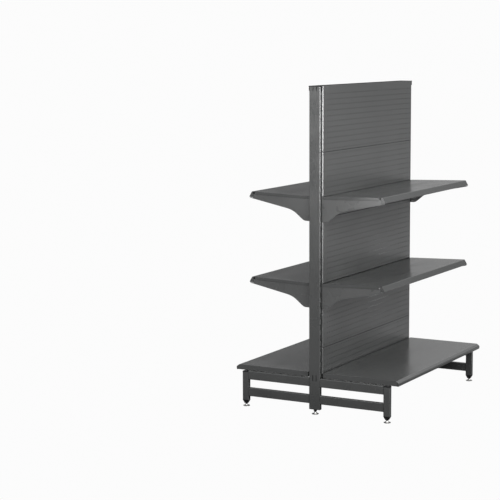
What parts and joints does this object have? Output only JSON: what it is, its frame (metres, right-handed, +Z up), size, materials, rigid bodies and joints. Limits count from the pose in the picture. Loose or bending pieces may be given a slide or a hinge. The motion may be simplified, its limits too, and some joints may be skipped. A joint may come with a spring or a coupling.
{
  "type": "gondola shelving unit",
  "caption": "Double-sided store gondola bay with perforated back panels, slotted uprights, base decks, hook-on shelves and levelling feet.",
  "frame": {"origin": "on the floor, under the middle of the unit", "axes": "+Z up; +X along the bay, towards the far end; -Y towards the front shelves and +Y towards the rear ones"},
  "size_m": [1.032, 0.8394, 1.512],
  "materials": {
    "frame_paint": "semi-gloss powder coat",
    "panel_paint": "semi-gloss powder coat",
    "shelf_paint": "semi-gloss powder coat",
    "bracket_paint": "semi-gloss powder coat",
    "black_plastic": "moulded, fine grain",
    "zinc": "zinc plated"
  },
  "bodies": {
    "stand": {"upright_near": "frame_paint", "upright_far": "frame_paint", "upright_cap_near": "black_plastic", "upright_cap_far": "black_plastic", "bottom_cross_beam": "frame_paint", "top_cross_beam": "frame_paint", "leg_top_plugs": "black_plastic", "foot_inserts": "black_plastic", "base_frame_near_front": "frame_paint", "base_frame_near_rear": "frame_paint", "base_frame_far_front": "frame_paint", "base_frame_far_rear": "frame_paint", "back_panel_front_top": "panel_paint", "back_panel_front_upper_middle": "panel_paint", "back_panel_front_middle": "panel_paint", "back_panel_front_lower_middle": "panel_paint", "back_panel_front_bottom": "panel_paint", "back_panel_rear_top": "panel_paint", "back_panel_rear_upper_middle": "panel_paint", "back_panel_rear_middle": "panel_paint", "back_panel_rear_lower_middle": "panel_paint", "back_panel_rear_bottom": "panel_paint"},
    "base_deck_front": {"base_deck_front": "shelf_paint", "base_deck_stiffener_front": "shelf_paint"},
    "base_deck_rear": {"base_deck_rear": "shelf_paint", "base_deck_stiffener_rear": "shelf_paint"},
    "upper_brackets_front": {"upper_bracket_front_near": "bracket_paint", "upper_bracket_front_far": "bracket_paint"},
    "upper_shelf_front": {"upper_shelf_front": "shelf_paint", "upper_shelf_stiffener_front": "shelf_paint"},
    "upper_brackets_rear": {"upper_bracket_rear_near": "bracket_paint", "upper_bracket_rear_far": "bracket_paint"},
    "upper_shelf_rear": {"upper_shelf_rear": "shelf_paint", "upper_shelf_stiffener_rear": "shelf_paint"},
    "lower_brackets_front": {"lower_bracket_front_near": "bracket_paint", "lower_bracket_front_far": "bracket_paint"},
    "lower_shelf_front": {"lower_shelf_front": "shelf_paint", "lower_shelf_stiffener_front": "shelf_paint"},
    "lower_brackets_rear": {"lower_bracket_rear_near": "bracket_paint", "lower_bracket_rear_far": "bracket_paint"},
    "lower_shelf_rear": {"lower_shelf_rear": "shelf_paint", "lower_shelf_stiffener_rear": "shelf_paint"},
    "foot_pad_near_front": {"foot_pad_near_front": "zinc"},
    "foot_stud_near_front": {"foot_stud_near_front": "zinc"},
    "foot_pad_near_middle": {"foot_pad_near_middle": "zinc"},
    "foot_stud_near_middle": {"foot_stud_near_middle": "zinc"},
    "foot_pad_near_rear": {"foot_pad_near_rear": "zinc"},
    "foot_stud_near_rear": {"foot_stud_near_rear": "zinc"},
    "foot_pad_far_front": {"foot_pad_far_front": "zinc"},
    "foot_stud_far_front": {"foot_stud_far_front": "zinc"},
    "foot_pad_far_middle": {"foot_pad_far_middle": "zinc"},
    "foot_stud_far_middle": {"foot_stud_far_middle": "zinc"},
    "foot_pad_far_rear": {"foot_pad_far_rear": "zinc"},
    "foot_stud_far_rear": {"foot_stud_far_rear": "zinc"}
  },
  "joints": [
    {"name": "base_deck_front_lift", "type": "slide", "parent": "stand", "child": "base_deck_front", "axis": [0, 0, 1], "range_m": [0, 0.08]},
    {"name": "base_deck_rear_lift", "type": "slide", "parent": "stand", "child": "base_deck_rear", "axis": [0, 0, 1], "range_m": [0, 0.08]},
    {"name": "upper_brackets_front_unhook", "type": "slide", "parent": "stand", "child": "upper_brackets_front", "axis": [0, 0, 1], "range_m": [0, 0.009]},
    {"name": "upper_shelf_front_lift", "type": "slide", "parent": "upper_brackets_front", "child": "upper_shelf_front", "axis": [0, 0, 1], "range_m": [0, 0.08]},
    {"name": "upper_brackets_rear_unhook", "type": "slide", "parent": "stand", "child": "upper_brackets_rear", "axis": [0, 0, 1], "range_m": [0, 0.009]},
    {"name": "upper_shelf_rear_lift", "type": "slide", "parent": "upper_brackets_rear", "child": "upper_shelf_rear", "axis": [0, 0, 1], "range_m": [0, 0.08]},
    {"name": "lower_brackets_front_unhook", "type": "slide", "parent": "stand", "child": "lower_brackets_front", "axis": [0, 0, 1], "range_m": [0, 0.009]},
    {"name": "lower_shelf_front_lift", "type": "slide", "parent": "lower_brackets_front", "child": "lower_shelf_front", "axis": [0, 0, 1], "range_m": [0, 0.08]},
    {"name": "lower_brackets_rear_unhook", "type": "slide", "parent": "stand", "child": "lower_brackets_rear", "axis": [0, 0, 1], "range_m": [0, 0.009]},
    {"name": "lower_shelf_rear_lift", "type": "slide", "parent": "lower_brackets_rear", "child": "lower_shelf_rear", "axis": [0, 0, 1], "range_m": [0, 0.08]},
    {"name": "foot_near_front_slide", "type": "slide", "parent": "stand", "child": "foot_pad_near_front", "axis": [0, 0, -1], "range_m": [0, 0.0225]},
    {"name": "foot_near_front_screw", "type": "hinge", "parent": "foot_pad_near_front", "child": "foot_stud_near_front", "pos_m": [-0.5, -0.365, 0.02], "axis": [0, 0, -1], "range_deg": [0, 4800]},
    {"name": "foot_near_middle_slide", "type": "slide", "parent": "stand", "child": "foot_pad_near_middle", "axis": [0, 0, -1], "range_m": [0, 0.0225]},
    {"name": "foot_near_middle_screw", "type": "hinge", "parent": "foot_pad_near_middle", "child": "foot_stud_near_middle", "pos_m": [-0.5, 0, 0.02], "axis": [0, 0, -1], "range_deg": [0, 4800]},
    {"name": "foot_near_rear_slide", "type": "slide", "parent": "stand", "child": "foot_pad_near_rear", "axis": [0, 0, -1], "range_m": [0, 0.0225]},
    {"name": "foot_near_rear_screw", "type": "hinge", "parent": "foot_pad_near_rear", "child": "foot_stud_near_rear", "pos_m": [-0.5, 0.365, 0.02], "axis": [0, 0, -1], "range_deg": [0, 4800]},
    {"name": "foot_far_front_slide", "type": "slide", "parent": "stand", "child": "foot_pad_far_front", "axis": [0, 0, -1], "range_m": [0, 0.0225]},
    {"name": "foot_far_front_screw", "type": "hinge", "parent": "foot_pad_far_front", "child": "foot_stud_far_front", "pos_m": [0.5, -0.365, 0.02], "axis": [0, 0, -1], "range_deg": [0, 4800]},
    {"name": "foot_far_middle_slide", "type": "slide", "parent": "stand", "child": "foot_pad_far_middle", "axis": [0, 0, -1], "range_m": [0, 0.0225]},
    {"name": "foot_far_middle_screw", "type": "hinge", "parent": "foot_pad_far_middle", "child": "foot_stud_far_middle", "pos_m": [0.5, 0, 0.02], "axis": [0, 0, -1], "range_deg": [0, 4800]},
    {"name": "foot_far_rear_slide", "type": "slide", "parent": "stand", "child": "foot_pad_far_rear", "axis": [0, 0, -1], "range_m": [0, 0.0225]},
    {"name": "foot_far_rear_screw", "type": "hinge", "parent": "foot_pad_far_rear", "child": "foot_stud_far_rear", "pos_m": [0.5, 0.365, 0.02], "axis": [0, 0, -1], "range_deg": [0, 4800]}
  ],
  "couplings": [
    {"joint": "foot_near_front_slide", "follows": "foot_near_front_screw", "m_per_rad": 0.00023873},
    {"joint": "foot_near_middle_slide", "follows": "foot_near_middle_screw", "m_per_rad": 0.00023873},
    {"joint": "foot_near_rear_slide", "follows": "foot_near_rear_screw", "m_per_rad": 0.00023873},
    {"joint": "foot_far_front_slide", "follows": "foot_far_front_screw", "m_per_rad": 0.00023873},
    {"joint": "foot_far_middle_slide", "follows": "foot_far_middle_screw", "m_per_rad": 0.00023873},
    {"joint": "foot_far_rear_slide", "follows": "foot_far_rear_screw", "m_per_rad": 0.00023873}
  ]
}
